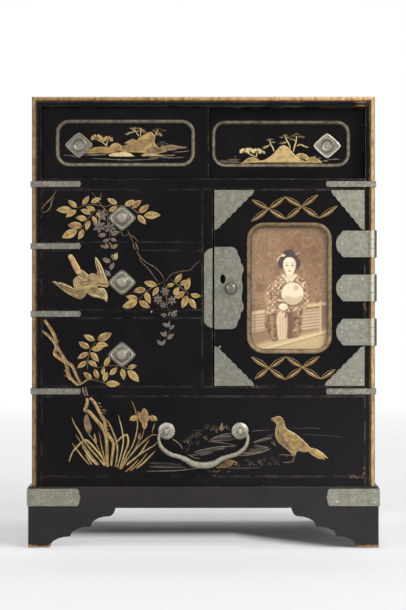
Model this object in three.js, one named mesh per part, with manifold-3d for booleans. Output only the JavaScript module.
// A small Japanese lacquer table cabinet on a bracket-footed stand.
// Two sliding doors run in grooves above three small drawers and a hinged door with a glazed picture.
// One wide drawer with a drop handle lies below them.
// Millimetres, +Z up, +X to the right as seen from the front, the front facing -Y.
// The case is drawn with y = 0 on its front face and y growing towards the back.

import * as THREE from "three";
import { mergeVertices } from "three/addons/utils/BufferGeometryUtils.js";
import Module from "manifold-3d";

const wasm = await Module();
wasm.setup();

// Case
const bodyWidth = 266;
const bodyDepth = 172;
const boardThickness = 7.6; // sides, top and bottom
const beadRadius = 2.1; // the gilt bead along the front edge of the sides and the top
const beadEndAngle = 35; // degrees above the horizontal at which the bead meets its quirk
const filletSetback = 0.3; // the flat beside the bead lies this far behind the front
const backThickness = 5;
const backInset = 0.6; // from the rear edge of the sides to the back panel
const dividerLeft = -0.5; // left face of the upright between the drawers and the door
const dividerThickness = 7.6;

// Heights of the openings and of the boards between them, from the bottom up
const bottomDrawerOpening = 62.4;
const lowerShelfThickness = 7.2;
const drawerOpenings = [53.4, 46.5, 41.0];
const drawerShelfThickness = 6.0;
const upperShelfThickness = 8.1;
const slidingOpening = 56.2;

// Joinery
const jointGap = 0.05; // glue line between boards that meet
const mitreGap = 0.1;
const tongueLength = 2.5;
const tongueThickness = 3.2;
const tongueStart = 12; // behind the front, so that the housing doesn't show
const housingClearance = 0.15;

// Sliding doors
const slidingThickness = 6.4;
const slidingSetback = 4.0; // front door's face behind the case's front
const slidingSpacing = 0.8; // between the two doors
const slidingOverlap = 8.0;
const slidingEndGap = 0.3;
const slidingGap = 0.5; // above and below the door's body
const slidingTongue = 3.0; // thickness of the tongue that runs in a groove
const grooveClearance = 0.2;
const lowerGrooveDepth = 1.8;
const lowerTongueReach = 1.5;
const upperGrooveDepth = 3.4;
const upperTongueReach = 1.6;
const sunkFieldHeight = 30.6;
const sunkFieldMargin = 13.4; // from the door's ends to the sunk field
const sunkFieldDepth = 1.8;
const sunkFieldRadius = 7.5;
const sunkMoulding = 2.4; // width of the moulding round the sunk field
const slidingPullInset = 28.4; // from the door's outer end to the middle of its finger cup
const slidingPullDrop = 1.5;

// Drawers
const drawerGap = 0.4;
const drawerFrontThickness = 8;
const drawerBackGap = 8.4; // from each tray to the back panel
const trayWall = 4;
const trayFloor = 2.5;
const traySideGap = 0.8; // from the tray to the opening, each side
const trayTopDrop = 3; // the tray's walls stop this far below the front's top
const pullDrop = 1.8; // drawer pulls sit this far below the middle of the front

// Metal plates
const plateThickness = 0.8;
const seatGap = 0.1; // under every applied plate
const diamondWidth = 22;
const diamondHeight = 19.8;
const diamondBlunting = 0.9; // length taken off each corner of a sharp rhombus
const diamondRim = 2.0; // raised border round the dished middle
const diamondDish = 0.35;
const shankRadius = 1.4;
const shankHoleClearance = 0.3;
const washerSize = 5.2;
const cupRadius = 4.9;
const cupDepth = 2.8;
const cupClearance = 0.3;

// Hinged door
const doorThickness = 9;
const doorGap = 0.5;
const doorSwingGap = 1.2; // at the free edge, which sweeps outwards as the door turns
const windowStile = 29; // from the window to the door's edge at each side
const windowRail = 28.85; // the same above and below
const windowRadius = 9.5;
const windowBevel = 3.2;
const windowBevelDepth = 2.0;
const windowLip = 2.6; // wood in front of the glass
const rebateMargin = 3.0; // the glass rebate is wider than the window by this much each side
const rebateClearance = 0.3;
const rebateRadius = 6;
const glassThickness = 1.8;
const glassBevel = 3.6;
const glassEdge = 0.6;
const cardThickness = 0.8;
const layerGap = 0.1;

// Hinges
const hingeCount = 3;
const hingeCornerGap = 0.9; // from the outer hinges' leaves to the corner plates
const hingeHeight = 20.5;
const leafThickness = 0.9;
const barrelRadius = 2.5;
const pinRadius = 0.9;
const pinBoreRadius = 1.2;
const pinHeadRadius = 1.7;
const pinHeadHeight = 0.6;
const barrelStandOff = 0.3; // between the barrel and the case's front
const knuckleGap = 0.3;
const hingeLeafReach = 28.8; // from the pin to the tip of the front leaf
const sideLeafReach = 28;

// Lock
const lockPlateWidth = 22.6;
const lockPlateHeight = 63.6;
const lockPlateInset = 0.2; // from the door's free edge
const keyholeFromEdge = 6.8;
const keyholeRise = 6.9; // above the middle of the door
const keyholeWidth = 4.2;
const keyholeHeight = 7.4;
const lockCaseWidth = 21;
const lockCaseHeight = 34;
const lockCaseDepth = 4.7;
const lockCaseWall = 0.9;
const lockClearance = 0.3;
const boltThickness = 2.2;
const boltHeight = 7;
const boltLength = 13;
const boltThrow = 4;
const knobFromEdge = 13.0;
const knobDrop = 0.2; // below the middle of the door
const strikeWidth = 6.4;
const strikeHeight = 62;
const strikeCorner = 4.6;

// Corner plates on the door
const cornerLeg = 30.5;
const cornerShortLeg = 25.5; // the top right plate is narrower
const cornerInset = 0.2;
const cornerTip = 2.2; // width of each blunt tip
const cornerLobes = 7;
const cornerLobeRise = 0.7;

// Edge straps on the case
const strapLength = 38.3;
const strapHeight = 4.5;
const strapThickness = 0.7;
const strapSideLength = 36;

// Drop handle of the bottom drawer
const handleHalfSpan = 28.4;
const handleDrop = 26.2;
const handleRise = 4.2; // pivot above the middle of the drawer front
const handleStandOff = 5.6; // pivot in front of the drawer front
const handleEndRadius = 1.0;
const handleArmRadius = 1.75;
const handleShoulderRadius = 2.1;
const handleMiddleRadius = 2.65;
const handleShoulder = 16.4; // from the middle to the outer cusps of the handle's lower edge
const handleBend = 8.2; // from the middle to where the handle's underside starts to rise
const rosetteRadius = 6.5;
const rosetteHeight = 1.8;
const eyeRadius = 2.6;
const eyeBoreRadius = 1.4;
const eyeThickness = 2.4;

// Stand
const standHeight = 47;
const standOverhang = 2.5;
const standThickness = 9;
const apronHeight = 16.4;
const footWidth = 16.5;
const footLobes = [
  { width: 15.9, rise: 8.6 },
  { width: 16.0, rise: 7.6 },
  { width: 13.6, rise: 7.9 },
];
const footOvolo = 5.3;
const standMountLength = 40.5;
const standMountSideLength = 38;
const standMountHeight = 13.4;
const standMountDrop = 1.5; // below the stand's top edge

// Everything below is worked out from the sizes above
const halfWidth = bodyWidth / 2;
const innerHalf = halfWidth - boardThickness;
const dividerRight = dividerLeft + dividerThickness;
const backFront = bodyDepth - backInset - backThickness;
const shelfDepth = backFront - jointGap;
const drawerDepth = backFront - drawerBackGap;

const bottomTop = standHeight + boardThickness;
const lowerShelfBottom = bottomTop + bottomDrawerOpening;
const lowerShelfTop = lowerShelfBottom + lowerShelfThickness;
const drawerBottoms = [];
let level = lowerShelfTop;
for (const opening of drawerOpenings) {
  drawerBottoms.push(level);
  level += opening + drawerShelfThickness;
}
const upperShelfBottom = level - drawerShelfThickness;
const upperShelfTop = upperShelfBottom + upperShelfThickness;
const topBottom = upperShelfTop + slidingOpening;
const bodyTop = topBottom + boardThickness;

const doorLeft = dividerRight + doorSwingGap;
const doorRight = innerHalf - doorGap;
const doorBottom = lowerShelfTop + doorGap;
const doorTop = upperShelfBottom - doorGap;
const doorMiddleX = (doorLeft + doorRight) / 2;
const doorMiddleZ = (doorBottom + doorTop) / 2;
const windowWidth = doorRight - doorLeft - 2 * windowStile;
const windowHeight = doorTop - doorBottom - 2 * windowRail;

const hingeSpacing = (doorTop - doorBottom) / 2 - cornerInset - cornerLeg - hingeCornerGap - hingeHeight / 2;
const hingeX = halfWidth + seatGap + leafThickness - barrelRadius;
const hingeY = -(barrelRadius + barrelStandOff);

const standHalfWidth = halfWidth + standOverhang;
const standFront = -standOverhang;
const standBack = bodyDepth + standOverhang;
const handleFront = handleStandOff + eyeRadius;
// The origin lies under the middle of the whole object, between the handle and the stand's back.
const frontPlaneY = -(standBack - handleFront) / 2;

const black = new THREE.MeshStandardMaterial({ color: 0x17161a, roughness: 0.25 });
const darkWood = new THREE.MeshStandardMaterial({ color: 0x2a2220, roughness: 0.6 });
const paleWood = new THREE.MeshStandardMaterial({ color: 0x9a7a55, roughness: 0.7 });
const silver = new THREE.MeshStandardMaterial({ color: 0x8f9188, roughness: 0.45, metalness: 0.9 });
const iron = new THREE.MeshStandardMaterial({ color: 0x4a4846, roughness: 0.5, metalness: 0.8 });
const paper = new THREE.MeshStandardMaterial({ color: 0xb59873, roughness: 0.8 });
const glass = new THREE.MeshStandardMaterial({ color: 0xdfe6e2, roughness: 0.05, transparent: true, opacity: 0.3 });

const degrees = Math.PI / 180;

// Solids

function solidOf(geometry) {
  const bare = geometry.clone();
  bare.deleteAttribute("normal");
  bare.deleteAttribute("uv");
  const merged = mergeVertices(bare, 1e-4);
  const mesh = new wasm.Mesh({
    numProp: 3,
    vertProperties: merged.attributes.position.array,
    triVerts: new Uint32Array(merged.index.array),
  });
  return new wasm.Manifold(mesh);
}

function geometryOf(solid) {
  const mesh = solid.getMesh();
  const indexed = new THREE.BufferGeometry();
  indexed.setAttribute("position", new THREE.BufferAttribute(mesh.vertProperties, 3));
  indexed.setIndex(new THREE.BufferAttribute(mesh.triVerts, 1));
  const flat = indexed.toNonIndexed();
  flat.computeVertexNormals();
  return flat;
}

function piece(name, solid, material) {
  const mesh = new THREE.Mesh(geometryOf(solid), material);
  mesh.name = name;
  return mesh;
}

function block(x0, x1, y0, y1, z0, z1) {
  const geometry = new THREE.BoxGeometry(x1 - x0, y1 - y0, z1 - z0);
  return solidOf(geometry.translate((x0 + x1) / 2, (y0 + y1) / 2, (z0 + z1) / 2));
}

// A shape drawn in X and Z, given thickness from y0 back to y1
function facingPrism(shape, y0, y1, curveSegments = 6) {
  const geometry = new THREE.ExtrudeGeometry(shape, { depth: y1 - y0, bevelEnabled: false, curveSegments });
  return solidOf(geometry.rotateX(Math.PI / 2).translate(0, y1, 0));
}

// A shape drawn in Y and Z, given thickness from x0 to x1
function sidewaysPrism(shape, x0, x1, curveSegments = 6) {
  const geometry = new THREE.ExtrudeGeometry(shape, { depth: x1 - x0, bevelEnabled: false, curveSegments });
  const turn = new THREE.Matrix4().set(0, 0, 1, 0, 1, 0, 0, 0, 0, 1, 0, 0, 0, 0, 0, 1);
  return solidOf(geometry.applyMatrix4(turn).translate(x0, 0, 0));
}

// A shape drawn in plan, given height from z0 to z1
function uprightPrism(shape, z0, z1, curveSegments = 6) {
  const geometry = new THREE.ExtrudeGeometry(shape, { depth: z1 - z0, bevelEnabled: false, curveSegments });
  return solidOf(geometry.translate(0, 0, z0));
}

// A turned form about the Y axis: profile points are [radius, distance out towards the front]
function turnedForward(profile, segments = 18) {
  const points = profile.map(([radius, out]) => new THREE.Vector2(radius, out));
  return solidOf(new THREE.LatheGeometry(points, segments).rotateX(Math.PI));
}

function cylinderAlong(axis, radius, from, to, segments = 16) {
  const geometry = new THREE.CylinderGeometry(radius, radius, to - from, segments);
  geometry.translate(0, (from + to) / 2, 0);
  if (axis === "x") geometry.rotateZ(-Math.PI / 2);
  if (axis === "z") geometry.rotateX(Math.PI / 2);
  return solidOf(geometry);
}

function roundedRectangle(width, height, radius) {
  const x = width / 2;
  const z = height / 2;
  const shape = new THREE.Shape();
  shape.moveTo(-x + radius, -z);
  shape.absarc(x - radius, -z + radius, radius, -Math.PI / 2, 0);
  shape.absarc(x - radius, z - radius, radius, 0, Math.PI / 2);
  shape.absarc(-x + radius, z - radius, radius, Math.PI / 2, Math.PI);
  shape.absarc(-x + radius, -z + radius, radius, Math.PI, 1.5 * Math.PI);
  return shape;
}

// A cutter whose outline at y = 0 is wider than the shape by moulding, narrowing to the shape at y = depth
function sinking(shape, moulding, depth, segments = 3) {
  const proud = 4;
  const geometry = new THREE.ExtrudeGeometry(shape, {
    depth: proud,
    bevelEnabled: true,
    bevelThickness: depth,
    bevelSize: moulding,
    bevelSegments: segments,
    curveSegments: 5,
  });
  return solidOf(geometry.rotateX(Math.PI / 2));
}

// Case

// Plan of a board's beaded front edge: pairs of distance from the outer face and distance behind the front
function beadedEdge() {
  const points = [[0, bodyDepth]];
  const steps = 7;
  for (let i = 0; i <= steps; i++) {
    const angle = (180 - ((180 - beadEndAngle) * i) / steps) * degrees;
    points.push([beadRadius + beadRadius * Math.cos(angle), beadRadius - beadRadius * Math.sin(angle)]);
  }
  const filletStart = 2 * beadRadius;
  points.push([filletStart, beadRadius * (1 - Math.sin(beadEndAngle * degrees))]);
  points.push([filletStart, filletSetback]);
  points.push([boardThickness, filletSetback]);
  points.push([boardThickness, bodyDepth]);
  return points;
}

// Everything on one side of the mitre at the right or left (hand 1 or -1) top corner
function mitreWedge(hand, above, gap) {
  const margin = 12;
  const corner = new THREE.Shape();
  const z = bodyTop - gap;
  corner.moveTo(hand * (innerHalf - margin), z - boardThickness - margin);
  corner.lineTo(hand * (halfWidth + margin), z + margin);
  if (above) corner.lineTo(hand * (innerHalf - margin), z + margin);
  else corner.lineTo(hand * (halfWidth + margin), z - boardThickness - margin);
  return facingPrism(corner, -margin, bodyDepth + margin);
}

// The space in a side or upright for the tongue at one end of a shelf
function housing(faceX, hand, shelfBottom, thickness) {
  const middle = shelfBottom + thickness / 2;
  const half = tongueThickness / 2 + housingClearance;
  const deep = faceX + hand * (tongueLength + housingClearance);
  const shallow = faceX - hand;
  return block(
    Math.min(deep, shallow), Math.max(deep, shallow),
    tongueStart - housingClearance, backFront,
    middle - half, middle + half,
  );
}

function sideBoard(hand) {
  const outline = new THREE.Shape(
    beadedEdge().map(([fromOuter, back]) => new THREE.Vector2(hand * (halfWidth - fromOuter), back)),
  );
  let board = uprightPrism(outline, standHeight + jointGap, bodyTop);
  board = board.subtract(mitreWedge(hand, true, mitreGap));
  const shelves = [
    [lowerShelfBottom, lowerShelfThickness],
    [upperShelfBottom, upperShelfThickness],
  ];
  if (hand < 0) {
    for (const bottom of drawerBottoms.slice(1)) {
      shelves.push([bottom - drawerShelfThickness, drawerShelfThickness]);
    }
  }
  for (const [bottom, thickness] of shelves) {
    board = board.subtract(housing(hand * innerHalf, hand, bottom, thickness));
  }
  return piece(hand < 0 ? "left_side" : "right_side", board, black);
}

// Middle line, behind the case's front, of the front door (0) or the rear door (1)
function slidingMiddle(track) {
  return slidingSetback + slidingThickness / 2 + track * (slidingThickness + slidingSpacing);
}

function trackGrooves(z0, z1) {
  const half = slidingTongue / 2 + grooveClearance;
  const grooves = [0, 1].map((track) =>
    block(-innerHalf, innerHalf, slidingMiddle(track) - half, slidingMiddle(track) + half, z0, z1),
  );
  return grooves[0].add(grooves[1]);
}

function topBoard() {
  const outline = new THREE.Shape(
    beadedEdge().map(([fromOuter, back]) => new THREE.Vector2(back, bodyTop - fromOuter)),
  );
  let board = sidewaysPrism(outline, -halfWidth, halfWidth);
  for (const hand of [-1, 1]) board = board.subtract(mitreWedge(hand, false, 0));
  board = board.subtract(trackGrooves(topBottom - 1, topBottom + upperGrooveDepth));
  return piece("top_board", board, black);
}

function shelfSolid(x0, x1, bottom, thickness, frontY = 0) {
  const middle = bottom + thickness / 2;
  const half = tongueThickness / 2;
  const board = block(x0 + jointGap, x1 - jointGap, frontY, shelfDepth, bottom, bottom + thickness);
  const tongues = block(
    x0 - tongueLength, x1 + tongueLength, tongueStart, shelfDepth, middle - half, middle + half,
  );
  return board.add(tongues);
}

function caseBoards() {
  const upper = shelfSolid(-innerHalf, innerHalf, upperShelfBottom, upperShelfThickness);
  const grooved = upper.subtract(trackGrooves(upperShelfTop - lowerGrooveDepth, upperShelfTop + 1));
  const lower = shelfSolid(-innerHalf, innerHalf, lowerShelfBottom, lowerShelfThickness);
  const bottom = block(
    -innerHalf + jointGap, innerHalf - jointGap, filletSetback, shelfDepth, standHeight + jointGap, bottomTop,
  );
  const back = block(
    -innerHalf + jointGap, innerHalf - jointGap, backFront, backFront + backThickness,
    standHeight + jointGap, topBottom - jointGap,
  );
  const boards = [
    sideBoard(-1),
    sideBoard(1),
    topBoard(),
    piece("upper_shelf", grooved, black),
    piece("lower_shelf", lower, black),
    piece("bottom_board", bottom, black),
    piece("back_panel", back, darkWood),
    centreDivider(),
  ];
  const names = ["drawer_shelf_lower", "drawer_shelf_upper"];
  drawerBottoms.slice(1).forEach((opening, i) => {
    const solid = shelfSolid(-innerHalf, dividerLeft, opening - drawerShelfThickness, drawerShelfThickness);
    boards.push(piece(names[i], solid, black));
  });
  return boards;
}

function centreDivider() {
  let upright = block(
    dividerLeft, dividerRight, 0, shelfDepth, lowerShelfTop + jointGap, upperShelfBottom - jointGap,
  );
  for (const opening of drawerBottoms.slice(1)) {
    upright = upright.subtract(
      housing(dividerLeft, 1, opening - drawerShelfThickness, drawerShelfThickness),
    );
  }
  return piece("centre_divider", upright.subtract(boltPassage(doorLeft - boltThrow - 0.5)), black);
}

// Plates

// A rhombus whose corners are rounded off by an ellipse of the same size
function diamondShape(inset) {
  const halfWidth = diamondWidth / 2 - inset;
  const halfHeight = diamondHeight / 2 - inset;
  const sharpness = 12; // how closely the outline keeps to whichever of the two is nearer
  const shape = [];
  const steps = 40;
  for (let i = 0; i < steps; i++) {
    const angle = (2 * Math.PI * i) / steps;
    const across = Math.cos(angle);
    const up = Math.sin(angle);
    const flat = Math.abs(across) / (halfWidth + diamondBlunting) + Math.abs(up) / (halfHeight + diamondBlunting);
    const round = Math.hypot(across / halfWidth, up / halfHeight);
    const radius = (flat ** sharpness + round ** sharpness) ** (-1 / sharpness);
    shape.push(new THREE.Vector2(radius * across, radius * up));
  }
  return new THREE.Shape(shape);
}

function dishedPlate() {
  const dish = facingPrism(diamondShape(diamondRim), -plateThickness - 1, -plateThickness + diamondDish);
  return facingPrism(diamondShape(0), -plateThickness, 0).subtract(dish);
}

// A knob on a diamond plate, with its shank clinched on a washer behind a board of the given thickness
function knobPull(boardThicknessBehind) {
  const plate = dishedPlate();
  const knob = turnedForward([
    [0, -0.2],
    [5.6, 0.4],
    [5.6, 1.3],
    [4.6, 2.1],
    [2.4, 2.5],
    [2.0, 4.0],
    [3.9, 5.0],
    [4.3, 5.9],
    [3.8, 6.7],
    [2.6, 7.2],
    [0, 7.4],
  ]);
  const behind = boardThicknessBehind + 2 * seatGap;
  const shank = turnedForward([[0, -behind - 1.6], [shankRadius, -behind - 1.2], [shankRadius, 0.3], [0, 0.3]], 10);
  const half = washerSize / 2;
  const washer = block(-half, half, behind, behind + 0.8, -half, half);
  return plate.add(knob).add(shank).add(washer);
}

function cupPull() {
  const rim = cupRadius + 0.7;
  const cup = turnedForward([
    [0, -cupDepth],
    [cupRadius - 0.4, -cupDepth],
    [cupRadius, -cupDepth + 0.6],
    [cupRadius, 0.2],
    [rim, 0.2],
    [rim, plateThickness + 0.1],
    [cupRadius, plateThickness + 0.5],
    [cupRadius - 0.7, plateThickness],
    [cupRadius - 0.9, -cupDepth + 1.1],
    [cupRadius - 1.7, -cupDepth + 0.6],
    [1.6, -cupDepth + 0.6],
    [0.9, -cupDepth + 1.2],
    [0, -cupDepth + 1.4],
  ]);
  return dishedPlate().subtract(cylinderAlong("y", cupRadius + 0.2, -2, 2, 20)).add(cup);
}

// Sliding doors

function slidingDoor(side) {
  const track = side < 0 ? 0 : 1;
  const group = new THREE.Group();
  const outer = innerHalf - slidingEndGap;
  const width = outer + slidingOverlap / 2;
  const middleX = side * (outer - width / 2);
  const bodyHeight = slidingOpening - 2 * slidingGap;
  const middleZ = upperShelfTop + slidingOpening / 2;
  group.position.set(middleX, slidingMiddle(track), middleZ);

  const half = slidingThickness / 2;
  const bottom = -bodyHeight / 2;
  const top = bodyHeight / 2;
  let panel = block(-width / 2, width / 2, -half, half, bottom, top);
  const tongueBottom = -slidingOpening / 2 - lowerTongueReach;
  const tongueTop = slidingOpening / 2 + upperTongueReach;
  panel = panel.add(block(-width / 2, width / 2, -slidingTongue / 2, slidingTongue / 2, tongueBottom, tongueTop));

  const field = roundedRectangle(width - 2 * sunkFieldMargin, sunkFieldHeight, sunkFieldRadius);
  panel = panel.subtract(sinking(field, sunkMoulding, sunkFieldDepth).translate([0, -half, 0]));
  const pullX = side * (width / 2 - slidingPullInset);
  const fieldY = -half + sunkFieldDepth;
  const cupHole = cylinderAlong("y", cupRadius + cupClearance, -1, cupDepth + cupClearance, 20);
  panel = panel.subtract(cupHole.translate([pullX, fieldY, -slidingPullDrop]));

  const name = side < 0 ? "left_sliding_door" : "right_sliding_door";
  const pull = piece(name + "_pull", cupPull(), silver);
  pull.position.set(pullX, fieldY - seatGap, -slidingPullDrop);
  group.add(piece(name, panel, black), pull);
  return group;
}

// Drawers

// A drawer's front and tray, placed by the middle of its opening; fixings are the shank holes in the front
function drawer(name, x0, x1, bottom, height, fixings) {
  const group = new THREE.Group();
  group.position.set((x0 + x1) / 2, 0, bottom + height / 2);
  const half = (x1 - x0) / 2;
  const lowest = -height / 2 + drawerGap;
  const highest = height / 2 - drawerGap;
  let front = block(-half + drawerGap, half - drawerGap, 0, drawerFrontThickness, lowest, highest);
  for (const [x, z] of fixings) {
    const hole = cylinderAlong("y", shankRadius + shankHoleClearance, -1, drawerFrontThickness + 1, 12);
    front = front.subtract(hole.translate([x, 0, z]));
  }
  const outer = half - traySideGap;
  const trayFront = drawerFrontThickness + jointGap;
  const tray = block(-outer, outer, trayFront, drawerDepth, lowest, highest - trayTopDrop);
  const hollow = block(
    -outer + trayWall, outer - trayWall, trayFront - 1, drawerDepth - trayWall, lowest + trayFloor, highest,
  );
  group.add(piece(name + "_front", front, black), piece(name + "_tray", tray.subtract(hollow), paleWood));
  return group;
}

function smallDrawers() {
  return drawerBottoms.map((bottom, i) => {
    const name = "drawer_" + (drawerBottoms.length - i);
    const group = drawer(name, -innerHalf, dividerLeft, bottom, drawerOpenings[i], [[0, -pullDrop]]);
    const pull = piece(name + "_pull", knobPull(drawerFrontThickness), silver);
    pull.position.set(0, -seatGap, -pullDrop);
    group.add(pull);
    return group;
  });
}

// Middle line of the drop handle in X and Z about the middle of its pivot line. Each end enters its
// post from outside. The arms drop, run inwards to a shoulder and meet in a rounded middle.
function handleCurve() {
  const fromPost = [
    [2.4, 0],
    [-2.6, 0],
    [-5.3, -1.6],
    [-6.0, -5.6],
    [-4.6, -11.0],
    [-1.2, -14.9],
    [3.8, -17.9],
  ];
  const left = fromPost.map(([x, z]) => [x - handleHalfSpan, z]);
  left.push([-handleShoulder - 1.2, -handleDrop + 6.4]);
  left.push([-handleShoulder + 3.2, -handleDrop + 4.4]);
  left.push([-handleBend, -handleDrop + 1.4]);
  const right = left.slice().reverse().map(([x, z]) => [-x, z]);
  const points = [...left, [0, -handleDrop], ...right];
  return new THREE.CatmullRomCurve3(points.map(([x, z]) => new THREE.Vector3(x, 0, z)), false, "centripetal");
}

function smoothStep(value, start, end) {
  const share = Math.min(Math.max((value - start) / (end - start), 0), 1);
  return share * share * (3 - 2 * share);
}

// The handle swells along its arms, steps out at its shoulders and swells on towards its middle
function handleRadius(x, z) {
  const distance = Math.abs(x);
  const arm = smoothStep(-z, 0, handleDrop * 0.7) * (handleArmRadius - handleEndRadius);
  const outer = smoothStep(-distance, -handleShoulder - 0.3, -handleShoulder + 1.0);
  const inner = smoothStep(-distance, -handleShoulder + 1.0, -handleBend / 2);
  return handleEndRadius + arm
    + outer * (handleShoulderRadius - handleArmRadius)
    + inner * (handleMiddleRadius - handleShoulderRadius);
}

function dropHandle() {
  const curve = handleCurve();
  const steps = 60;
  const sides = 10;
  const positions = [];
  const normal = new THREE.Vector3(0, 1, 0);
  for (let i = 0; i <= steps; i++) {
    const share = i / steps;
    const centre = curve.getPointAt(share);
    const across = new THREE.Vector3().crossVectors(normal, curve.getTangentAt(share)).normalize();
    const radius = handleRadius(centre.x, centre.z);
    for (let j = 0; j < sides; j++) {
      const angle = (2 * Math.PI * j) / sides;
      const point = centre.clone();
      point.addScaledVector(across, radius * Math.cos(angle));
      point.addScaledVector(normal, radius * Math.sin(angle));
      positions.push(point.x, point.y, point.z);
    }
  }
  const faces = [];
  for (let i = 0; i < steps; i++) {
    for (let j = 0; j < sides; j++) {
      const a = i * sides + j;
      const b = i * sides + ((j + 1) % sides);
      faces.push(a, b, b + sides, a, b + sides, a + sides);
    }
  }
  for (let j = 1; j < sides - 1; j++) {
    faces.push(0, j + 1, j);
    const last = steps * sides;
    faces.push(last, last + j, last + j + 1);
  }
  const bar = new THREE.BufferGeometry();
  bar.setAttribute("position", new THREE.Float32BufferAttribute(positions, 3));
  bar.setIndex(faces);
  return solidOf(bar);
}

// A domed rosette with an eye for the handle's end, clinched behind the drawer front
function handlePost() {
  const neckBottom = rosetteHeight - 0.4;
  const rosette = turnedForward([
    [0, 0],
    [rosetteRadius, 0],
    [rosetteRadius, 0.6],
    [rosetteRadius - 0.9, 1.1],
    [rosetteRadius - 2.6, rosetteHeight],
    [0, rosetteHeight],
  ], 24);
  const neck = turnedForward([[0, 0.5], [1.6, 0.5], [1.4, neckBottom + 2.2], [0, neckBottom + 2.2]], 12);
  const eye = cylinderAlong("x", eyeRadius, -eyeThickness / 2, eyeThickness / 2, 16)
    .translate([0, -handleStandOff + seatGap, 0]);
  const bore = cylinderAlong("x", eyeBoreRadius, -eyeThickness, eyeThickness, 12)
    .translate([0, -handleStandOff + seatGap, 0]);
  const behind = drawerFrontThickness + 2 * seatGap;
  const shank = turnedForward([[0, -behind - 1.6], [shankRadius, -behind - 1.2], [shankRadius, 0.3], [0, 0.3]], 10);
  const half = washerSize / 2;
  const washer = block(-half, half, behind, behind + 0.8, -half, half);
  return rosette.add(neck).add(eye).subtract(bore).add(shank).add(washer);
}

function bottomDrawer() {
  const fixings = [[-handleHalfSpan, handleRise], [handleHalfSpan, handleRise]];
  const group = drawer("bottom_drawer", -innerHalf, innerHalf, bottomTop, bottomDrawerOpening, fixings);
  fixings.forEach(([x, z], i) => {
    const post = piece(["handle_post_left", "handle_post_right"][i], handlePost(), silver);
    post.position.set(x, -seatGap, z);
    group.add(post);
  });
  const handle = piece("drop_handle", dropHandle(), silver);
  handle.position.set(0, -handleStandOff, handleRise);
  group.add(handle);
  return group;
}

// Hinged door and lock

// The way for the lock bolt, from x0 to the lock case, through the door's edge or into the upright
function boltPassage(x0) {
  const y0 = lockCaseFront() + lockCaseWall;
  const half = boltHeight / 2 + lockClearance;
  const z = doorMiddleZ + keyholeRise;
  return block(
    x0, doorLeft + 3, y0 + lockClearance / 2, y0 + boltThickness + lockClearance * 1.5, z - half, z + half,
  );
}

function lockCaseFront() {
  return doorThickness - lockCaseDepth - lockClearance;
}

function keyholeShape(grow) {
  const shape = new THREE.Shape();
  shape.absellipse(0, 0, keyholeWidth / 2 + grow, keyholeHeight / 2 + grow, 0, 2 * Math.PI);
  return shape;
}

function keyholeCutter(grow, y0, y1) {
  return facingPrism(keyholeShape(grow), y0, y1, 7)
    .translate([doorLeft + keyholeFromEdge, 0, doorMiddleZ + keyholeRise]);
}

// The lock case's block, grown or shrunk all round
function lockCaseBlock(grow) {
  const x0 = doorLeft + lockCaseWall + lockClearance;
  const z = doorMiddleZ + keyholeRise;
  const half = lockCaseHeight / 2 + grow;
  return block(
    x0 - grow, x0 + lockCaseWidth + grow,
    lockCaseFront() - grow, doorThickness - lockClearance + grow,
    z - half, z + half,
  );
}

function doorPanel() {
  let panel = block(doorLeft, doorRight, 0, doorThickness, doorBottom, doorTop);
  const middle = [doorMiddleX, 0, doorMiddleZ];
  const window = roundedRectangle(windowWidth, windowHeight, windowRadius);
  panel = panel.subtract(facingPrism(window, -1, doorThickness).translate(middle));
  panel = panel.subtract(sinking(window, windowBevel, windowBevelDepth).translate(middle));
  const rebate = roundedRectangle(
    windowWidth + 2 * rebateMargin, windowHeight + 2 * rebateMargin, rebateRadius,
  );
  panel = panel.subtract(facingPrism(rebate, windowLip, doorThickness + 1).translate(middle));
  const mortise = lockCaseBlock(lockClearance);
  panel = panel.subtract(mortise).subtract(mortise.translate([0, lockClearance, 0]));
  panel = panel.subtract(boltPassage(doorLeft - 1));
  panel = panel.subtract(keyholeCutter(0.1, -1, doorThickness / 2));
  const knobHole = cylinderAlong("y", shankRadius + shankHoleClearance, -1, 3.2, 12);
  panel = panel.subtract(knobHole.translate([doorLeft + knobFromEdge, 0, doorMiddleZ - knobDrop]));
  return piece("door_panel", panel, black);
}

// Glass, picture card and backboard, in that order from the front of the rebate
function pictureLayers() {
  const width = windowWidth + 2 * (rebateMargin - rebateClearance);
  const height = windowHeight + 2 * (rebateMargin - rebateClearance);
  const radius = rebateRadius - rebateClearance;
  const outline = roundedRectangle(width, height, radius);
  const flat = roundedRectangle(
    width - 2 * glassBevel, height - 2 * glassBevel, Math.max(radius - glassBevel, 1),
  );
  const glassFront = windowLip + layerGap;
  const bevelled = new THREE.ExtrudeGeometry(flat, {
    depth: glassEdge,
    bevelEnabled: true,
    bevelThickness: glassThickness - glassEdge,
    bevelSize: glassBevel,
    bevelSegments: 1,
    curveSegments: 5,
  });
  const pane = solidOf(bevelled.rotateX(-Math.PI / 2))
    .intersect(facingPrism(roundedRectangle(width + 9, height + 9, radius), glassEdge - glassThickness, glassEdge));
  const cardFront = glassFront + glassThickness + layerGap;
  const boardFront = cardFront + cardThickness + layerGap;
  const card = facingPrism(outline, cardFront, cardFront + cardThickness);
  const board = facingPrism(outline, boardFront, doorThickness - layerGap);
  const layers = [
    piece("picture_glass", pane.translate([0, glassFront + glassThickness - glassEdge, 0]), glass),
    piece("picture_card", card, paper),
    piece("picture_backboard", board, darkWood),
  ];
  for (const layer of layers) layer.position.set(doorMiddleX, 0, doorMiddleZ);
  return layers;
}

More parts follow.
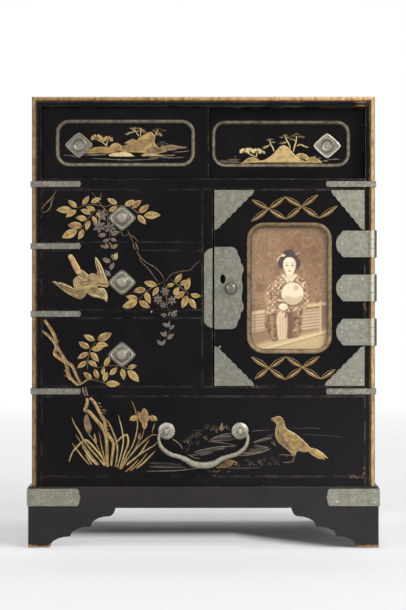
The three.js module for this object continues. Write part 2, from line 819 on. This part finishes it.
// Triangle with a scalloped long side; legs run from the corner at the origin along +X and +Z
function cornerShape(legX, legZ) {
  const points = [new THREE.Vector2(0, 0), new THREE.Vector2(legX, 0)];
  const start = new THREE.Vector2(legX, cornerTip * 0.6);
  const end = new THREE.Vector2(cornerTip * 0.6, legZ);
  const along = end.clone().sub(start);
  const out = new THREE.Vector2(along.y, -along.x).normalize();
  const stepsPerLobe = 4;
  const steps = cornerLobes * stepsPerLobe;
  for (let i = 0; i <= steps; i++) {
    const share = i / steps;
    const rise = cornerLobeRise * Math.abs(Math.sin(Math.PI * cornerLobes * share));
    points.push(start.clone().addScaledVector(along, share).addScaledVector(out, rise));
  }
  points.push(new THREE.Vector2(0, legZ));
  return new THREE.Shape(points);
}

function cornerPlates() {
  const left = doorLeft + cornerInset;
  const right = doorRight - cornerInset;
  const low = doorBottom + cornerInset;
  const high = doorTop - cornerInset;
  const corners = [
    ["door_corner_top_left", left, high, 1, -1, cornerLeg],
    ["door_corner_top_right", right, high, -1, -1, cornerShortLeg],
    ["door_corner_bottom_left", left, low, 1, 1, cornerLeg],
    ["door_corner_bottom_right", right, low, -1, 1, cornerLeg],
  ];
  return corners.map(([name, x, z, acrossX, upZ, legX]) => {
    const shape = new THREE.Shape(
      cornerShape(legX, cornerLeg).getPoints().map((p) => new THREE.Vector2(acrossX * p.x, upZ * p.y)),
    );
    const plate = piece(name, facingPrism(shape, -plateThickness, 0), silver);
    plate.position.set(x, -seatGap, z);
    return plate;
  });
}

// One half of the lock plate's free edge, from its straight end to the small bump in the middle.
// Each lobe is [width at its end, height at its end, swell beyond the straight line].
function lockPlateLobes() {
  const half = lockPlateHeight / 2;
  const w = lockPlateWidth;
  return [
    [w - 9.0, half, 0],
    [w - 4.6, half - 5.8, 1.5],
    [w - 2.3, half - 12.4, 0.8],
    [w, half - 18.8, 1.0],
    [w - 1.4, 5.2, -0.7],
    [w - 0.6, 0, 0.2],
  ];
}

function lockPlateShape() {
  const upper = lockPlateLobes();
  const lower = upper.slice(0, -1).reverse().map(([x, z]) => [x, -z]);
  const swells = upper.slice(1).map((lobe) => lobe[2]);
  const corners = [...upper.map(([x, z]) => [x, z]), ...lower];
  const bulges = [...swells, ...swells.slice().reverse()];
  const shape = new THREE.Shape();
  shape.moveTo(0, corners[0][1]);
  shape.lineTo(...corners[0]);
  corners.slice(1).forEach(([x, z], i) => {
    const [fromX, fromZ] = corners[i];
    const length = Math.hypot(x - fromX, z - fromZ);
    const outX = (-(z - fromZ) / length) * bulges[i] * 2;
    const outZ = ((x - fromX) / length) * bulges[i] * 2;
    shape.quadraticCurveTo((x + fromX) / 2 + outX, (z + fromZ) / 2 + outZ, x, z);
  });
  shape.lineTo(0, -corners[0][1]);
  return shape;
}

function lockPlate() {
  let plate = facingPrism(lockPlateShape(), -plateThickness, 0, 4);
  plate = plate.translate([doorLeft + lockPlateInset, -seatGap, doorMiddleZ]);
  plate = plate.subtract(keyholeCutter(0, -3, 1));
  const knobHole = cylinderAlong("y", shankRadius + shankHoleClearance, -3, 1, 12);
  plate = plate.subtract(knobHole.translate([doorLeft + knobFromEdge, 0, doorMiddleZ - knobDrop]));
  return piece("lock_plate", plate, silver);
}

function strikePlate() {
  const shape = new THREE.Shape();
  const half = strikeHeight / 2;
  shape.moveTo(strikeWidth, -half);
  shape.quadraticCurveTo(strikeWidth * 0.35, -half + 0.6, 0, -half + strikeCorner);
  shape.lineTo(0, half - strikeCorner);
  shape.quadraticCurveTo(strikeWidth * 0.35, half - 0.6, strikeWidth, half);
  const plate = piece("strike_plate", facingPrism(shape, -plateThickness, 0), silver);
  plate.position.set(dividerRight - strikeWidth - 0.1, -seatGap, doorMiddleZ);
  return plate;
}

function doorKnob() {
  const seat = plateThickness + 2 * seatGap;
  const knob = turnedForward([
    [0, -2.6],
    [shankRadius, -2.4],
    [shankRadius, seat],
    [3.4, seat],
    [3.0, seat + 1.4],
    [4.2, seat + 2.0],
    [4.9, seat + 3.0],
    [4.5, seat + 4.4],
    [3.2, seat + 5.5],
    [1.6, seat + 6.0],
    [0, seat + 6.1],
  ]);
  const mesh = piece("door_knob", knob, silver);
  mesh.position.set(doorLeft + knobFromEdge, 0, doorMiddleZ - knobDrop);
  return mesh;
}

function lockCase() {
  const shell = lockCaseBlock(0);
  const inner = lockCaseBlock(-lockCaseWall);
  const slot = boltPassage(doorLeft);
  return piece("lock_case", shell.subtract(inner).subtract(slot).subtract(keyholeCutter(0, 0, doorThickness / 2 + 1)), iron);
}

function lockBolt() {
  const z = doorMiddleZ + keyholeRise;
  const y0 = lockCaseFront() + lockCaseWall + lockClearance;
  const x0 = doorLeft + lockClearance;
  const bar = block(x0, x0 + boltLength, y0, y0 + boltThickness, z - boltHeight / 2, z + boltHeight / 2);
  const talonX = doorLeft + keyholeFromEdge;
  const talon = block(talonX - 1.5, talonX + 1.5, y0 - 1, y0 + boltThickness + 1, z - boltHeight, z - boltHeight / 2 + 2.2);
  return piece("lock_bolt", bar.subtract(talon), iron);
}

// Hinges

// A leaf drawn from the pin outwards along +X, its end cut to two small lobes and a rounded tip
function leafShape(reach) {
  const half = hingeHeight / 2;
  const shape = new THREE.Shape();
  shape.moveTo(0, -half);
  shape.lineTo(reach - 5.8, -half);
  shape.quadraticCurveTo(reach - 3.9, -half + 0.9, reach - 3.3, -half + 3.0);
  shape.quadraticCurveTo(reach - 1.4, -half + 4.0, reach - 0.8, -half + 6.1);
  shape.quadraticCurveTo(reach + 0.8, 0, reach - 0.8, half - 6.1);
  shape.quadraticCurveTo(reach - 1.4, half - 4.0, reach - 3.3, half - 3.0);
  shape.quadraticCurveTo(reach - 3.9, half - 0.9, reach - 5.8, half);
  shape.lineTo(0, half);
  return shape;
}

function mirrored(shape) {
  return new THREE.Shape(shape.getPoints(4).map((p) => new THREE.Vector2(-p.x, p.y)));
}

// One hinge about the Z axis at its own origin. The front leaf lies along -X, the side leaf along +Y.
function hinge(index) {
  const name = "hinge_" + (index + 1);
  const half = hingeHeight / 2;
  const knuckle = hingeHeight / 3;
  const bore = cylinderAlong("z", pinBoreRadius, -half - 1, half + 1, 12);
  const middleKnuckle = cylinderAlong("z", barrelRadius, -knuckle / 2, knuckle / 2, 16);
  const sweep = barrelRadius + knuckleGap;
  const middleSweep = cylinderAlong("z", sweep, -knuckle / 2 - knuckleGap, knuckle / 2 + knuckleGap, 16);
  const outerSweep = cylinderAlong("z", sweep, knuckle / 2, half + 1, 16)
    .add(cylinderAlong("z", sweep, -half - 1, -knuckle / 2, 16));
  const outerKnuckles = cylinderAlong("z", barrelRadius, knuckle / 2 + knuckleGap, half, 16)
    .add(cylinderAlong("z", barrelRadius, -half, -knuckle / 2 - knuckleGap, 16));

  const leafBack = -hingeY - seatGap;
  const frontLeaf = facingPrism(mirrored(leafShape(hingeLeafReach)), leafBack - leafThickness, leafBack, 4)
    .subtract(outerSweep)
    .add(middleKnuckle)
    .subtract(bore);
  const sideX = barrelRadius - leafThickness;
  const sideLeaf = sidewaysPrism(leafShape(sideLeafReach), sideX, sideX + leafThickness, 4)
    .subtract(middleSweep)
    .add(outerKnuckles)
    .subtract(bore);
  const pin = cylinderAlong("z", pinRadius, -half, half, 12);
  const heads = [-1, 1].map((end) => {
    const z = end * (half + pinHeadHeight / 2);
    return cylinderAlong("z", pinHeadRadius, z - pinHeadHeight / 2, z + pinHeadHeight / 2, 14);
  });
  const riveted = sideLeaf.add(pin).add(heads[0]).add(heads[1]);

  const group = new THREE.Group();
  group.position.set(hingeX, hingeY, doorMiddleZ + (1 - index) * hingeSpacing);
  group.add(piece(name + "_door_leaf", frontLeaf, silver), piece(name + "_side_leaf", riveted, silver));
  return group;
}

// Straps and mounts that wrap a front corner of the case or stand

// A band whose far end has a rounded tip between two shoulders
function tippedBand(from, to, height, bulge) {
  const half = height / 2;
  const out = Math.sign(to - from);
  const shape = new THREE.Shape();
  shape.moveTo(from, -half);
  shape.lineTo(to - out * bulge, -half);
  shape.quadraticCurveTo(to - out * bulge * 0.3, -half * 0.8, to - out * bulge * 0.4, -half * 0.4);
  shape.quadraticCurveTo(to + out * bulge * 0.3, 0, to - out * bulge * 0.4, half * 0.4);
  shape.quadraticCurveTo(to - out * bulge * 0.3, half * 0.8, to - out * bulge, half);
  shape.lineTo(from, half);
  return shape;
}

// hand 1 is the right corner. The corner of the wood is at the origin, with the piece's middle at z = 0.
function cornerWrap(name, hand, frontLength, sideLength, height, thickness, bulge) {
  const outer = thickness + seatGap;
  const front = facingPrism(tippedBand(hand * outer, -hand * frontLength, height, bulge), -outer, -seatGap, 3);
  const inner = hand > 0 ? seatGap : -outer;
  const side = sidewaysPrism(tippedBand(-outer, sideLength, height, bulge), inner, inner + thickness, 3);
  return piece(name, front.add(side), silver);
}

function straps() {
  const levels = [
    ["upper_shelf", upperShelfBottom + upperShelfThickness / 2, [-1, 1]],
    ["drawer_shelf_upper", drawerBottoms[2] - drawerShelfThickness / 2, [-1]],
    ["drawer_shelf_lower", drawerBottoms[1] - drawerShelfThickness / 2, [-1]],
    ["lower_shelf", lowerShelfBottom + lowerShelfThickness / 2, [-1, 1]],
  ];
  const made = [];
  for (const [shelf, z, hands] of levels) {
    for (const hand of hands) {
      const name = "strap_" + shelf + (hand < 0 ? "_left" : "_right");
      const strap = cornerWrap(name, hand, strapLength, strapSideLength, strapHeight, strapThickness, 1.2);
      strap.position.set(hand * halfWidth, 0, z);
      made.push(strap);
    }
  }
  return made;
}

// Stand

// Underside of a stand board from its outer end to the start of the level apron: distance in, height
function footProfile() {
  const points = [[0, 0]];
  let x = footWidth;
  let z = 0;
  const steps = 5;
  for (const lobe of footLobes) {
    for (let i = 0; i < steps; i++) {
      const angle = (Math.PI / 2) * (i / steps);
      points.push([x + lobe.width * (1 - Math.cos(angle)), z + lobe.rise * Math.sin(angle)]);
    }
    x += lobe.width;
    z += lobe.rise;
  }
  const top = standHeight - apronHeight;
  for (let i = 0; i <= steps; i++) {
    const angle = (Math.PI / 2) * (i / steps);
    points.push([x + footOvolo * Math.sin(angle), top - (top - z) * Math.cos(angle)]);
  }
  return points;
}

function standOutline(half) {
  const left = footProfile().map(([inwards, z]) => new THREE.Vector2(-half + inwards, z));
  const right = left.slice().reverse().map((p) => new THREE.Vector2(-p.x, p.y));
  return new THREE.Shape([
    ...left,
    ...right,
    new THREE.Vector2(half, standHeight),
    new THREE.Vector2(-half, standHeight),
  ]);
}

// A stand board along X, its outer face at y = 0 and its ends mitred, turned into place about Z
function standBoard(name, length, turn, x, y) {
  const half = length / 2;
  let board = facingPrism(standOutline(half), 0, standThickness);
  for (const hand of [-1, 1]) {
    const margin = 3;
    const wedge = new THREE.Shape();
    wedge.moveTo(hand * (half + margin), -margin - mitreGap);
    wedge.lineTo(hand * (half - standThickness - margin), standThickness + margin - mitreGap);
    wedge.lineTo(hand * (half + margin), standThickness + margin - mitreGap);
    board = board.subtract(uprightPrism(wedge, -1, standHeight + 1));
  }
  const mesh = piece(name, board, black);
  mesh.rotation.z = turn;
  mesh.position.set(x, y, 0);
  return mesh;
}

function stand() {
  const width = 2 * standHalfWidth;
  const depth = standBack - standFront;
  const middleY = (standFront + standBack) / 2;
  const group = new THREE.Group();
  group.add(
    standBoard("stand_front", width, 0, 0, standFront),
    standBoard("stand_back", width, Math.PI, 0, standBack),
    standBoard("stand_left", depth, -Math.PI / 2, -standHalfWidth, middleY),
    standBoard("stand_right", depth, Math.PI / 2, standHalfWidth, middleY),
  );
  for (const hand of [-1, 1]) {
    const name = hand < 0 ? "stand_mount_left" : "stand_mount_right";
    const mount = cornerWrap(
      name, hand, standMountLength, standMountSideLength, standMountHeight, plateThickness, 2.4,
    );
    mount.position.set(hand * standHalfWidth, standFront, standHeight - standMountDrop - standMountHeight / 2);
    group.add(mount);
  }
  return group;
}

// The whole cabinet

const cabinet = new THREE.Group();
cabinet.name = "lacquer_cabinet";
cabinet.position.y = frontPlaneY;
cabinet.add(...caseBoards(), ...straps(), strikePlate(), stand());
cabinet.add(slidingDoor(-1), slidingDoor(1), ...smallDrawers(), bottomDrawer());
cabinet.add(doorPanel(), ...pictureLayers(), ...cornerPlates(), lockPlate(), doorKnob(), lockCase(), lockBolt());
for (let i = 0; i < hingeCount; i++) cabinet.add(hinge(i));

export default cabinet;
